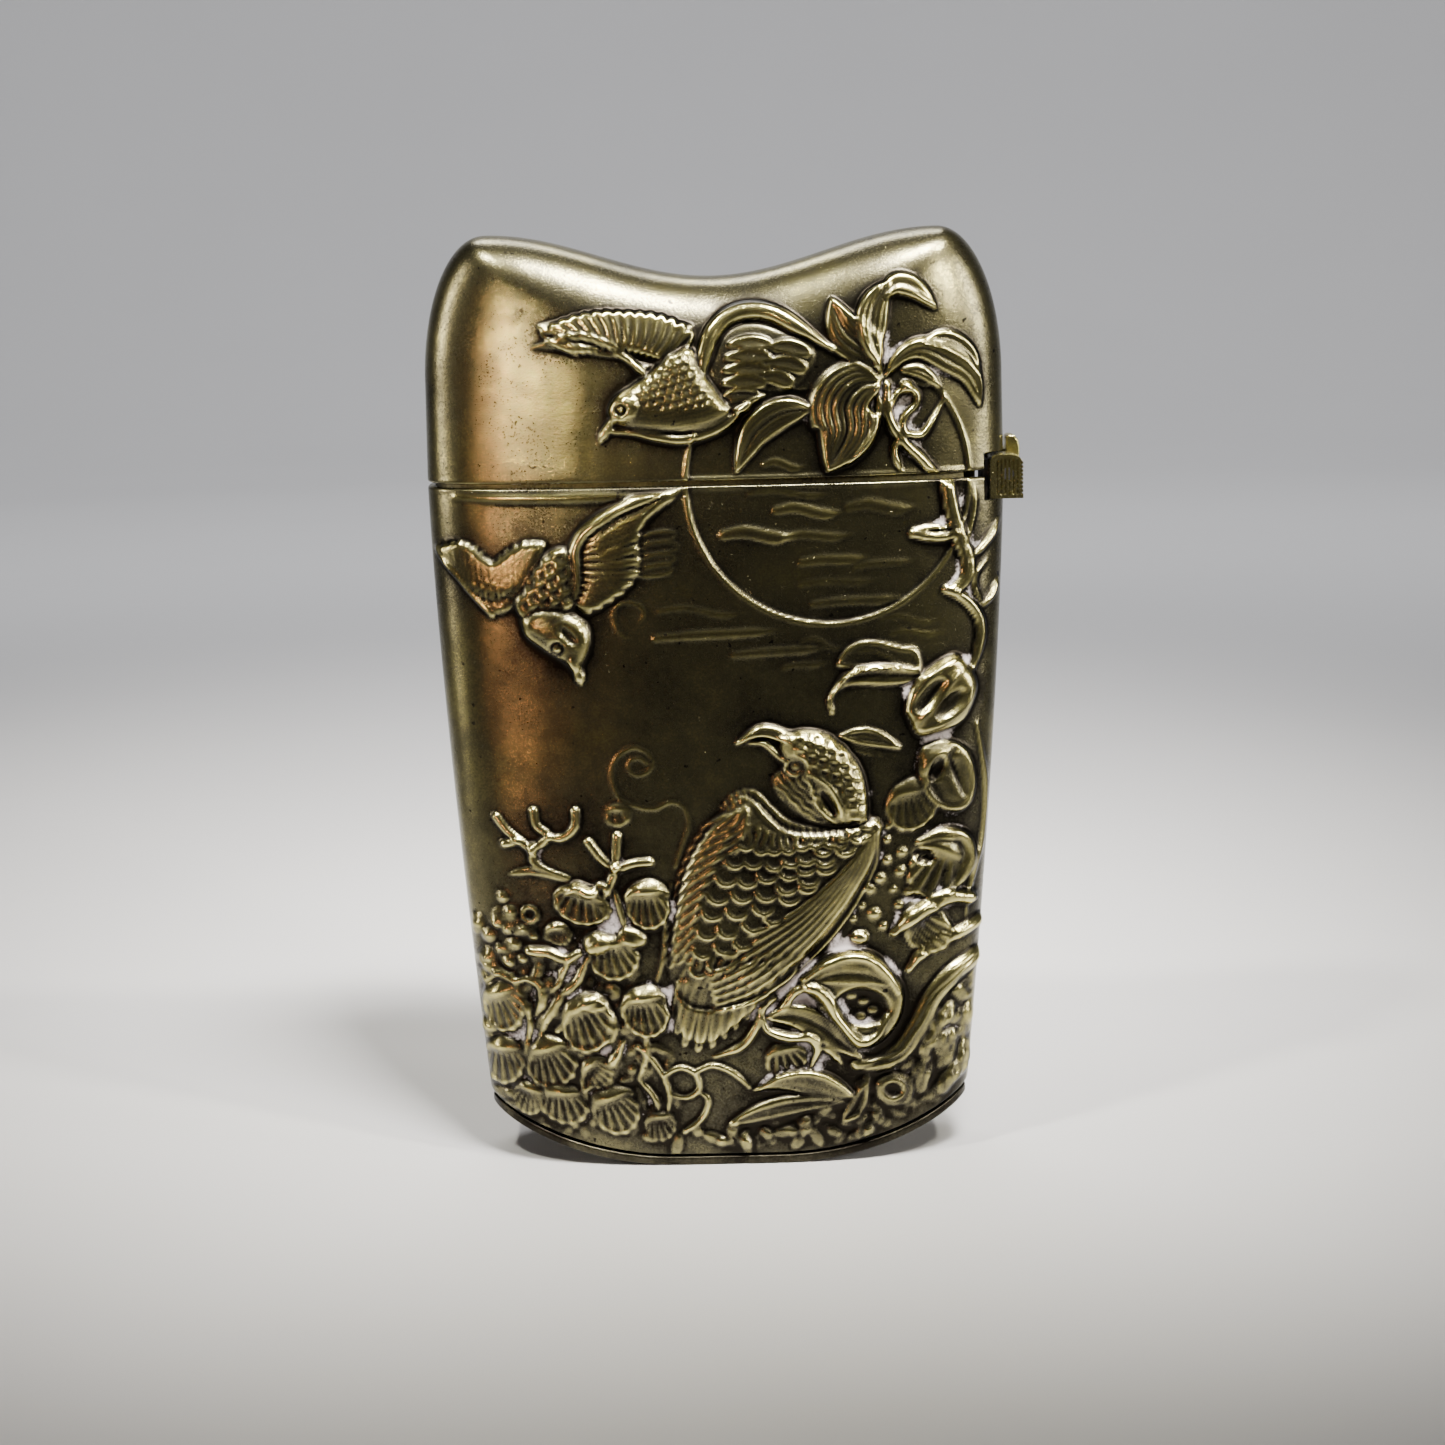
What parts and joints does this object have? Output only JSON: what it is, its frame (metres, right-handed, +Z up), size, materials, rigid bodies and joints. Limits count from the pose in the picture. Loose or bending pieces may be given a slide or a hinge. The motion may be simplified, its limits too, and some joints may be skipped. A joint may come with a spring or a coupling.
{
  "type": "hinged pocket needle case",
  "caption": "Flat stamped brass pocket case with a saddle-topped lid on a side snap hinge, bowed foot and raised bird and leaf relief.",
  "frame": {"origin": "middle of the flat land under the base plate, which the case stands on", "axes": "+Z up through the lid, +X towards the hinge, -Y out of the decorated front"},
  "size_m": [0.0391, 0.011, 0.062],
  "materials": {
    "aged_brass": "worn antique satin, dark patina and pale polish residue in the recesses",
    "inner_brass": "dull unpolished",
    "spring_steel": "dark tempered, brushed"
  },
  "bodies": {
    "case_body": {"body_front_shell": "aged_brass", "body_back_shell": "aged_brass", "base_plate": "aged_brass", "mouth_collar": "inner_brass", "hinge_knuckle_front": "aged_brass", "hinge_knuckle_rear": "aged_brass", "hinge_pin": "spring_steel", "leaf_spring": "spring_steel", "spring_anchor": "inner_brass", "spring_rivet_upper": "inner_brass", "spring_rivet_lower": "inner_brass"},
    "lid": {"lid_front_shell": "aged_brass", "lid_back_shell": "aged_brass", "hinge_knuckle_lid": "aged_brass"}
  },
  "joints": [
    {"name": "lid_hinge", "type": "hinge", "parent": "case_body", "child": "lid", "pos_m": [0.01905, 0, 0.046], "axis": [0, 1, 0], "range_deg": [0, 90], "deforming": ["leaf_spring"]}
  ]
}
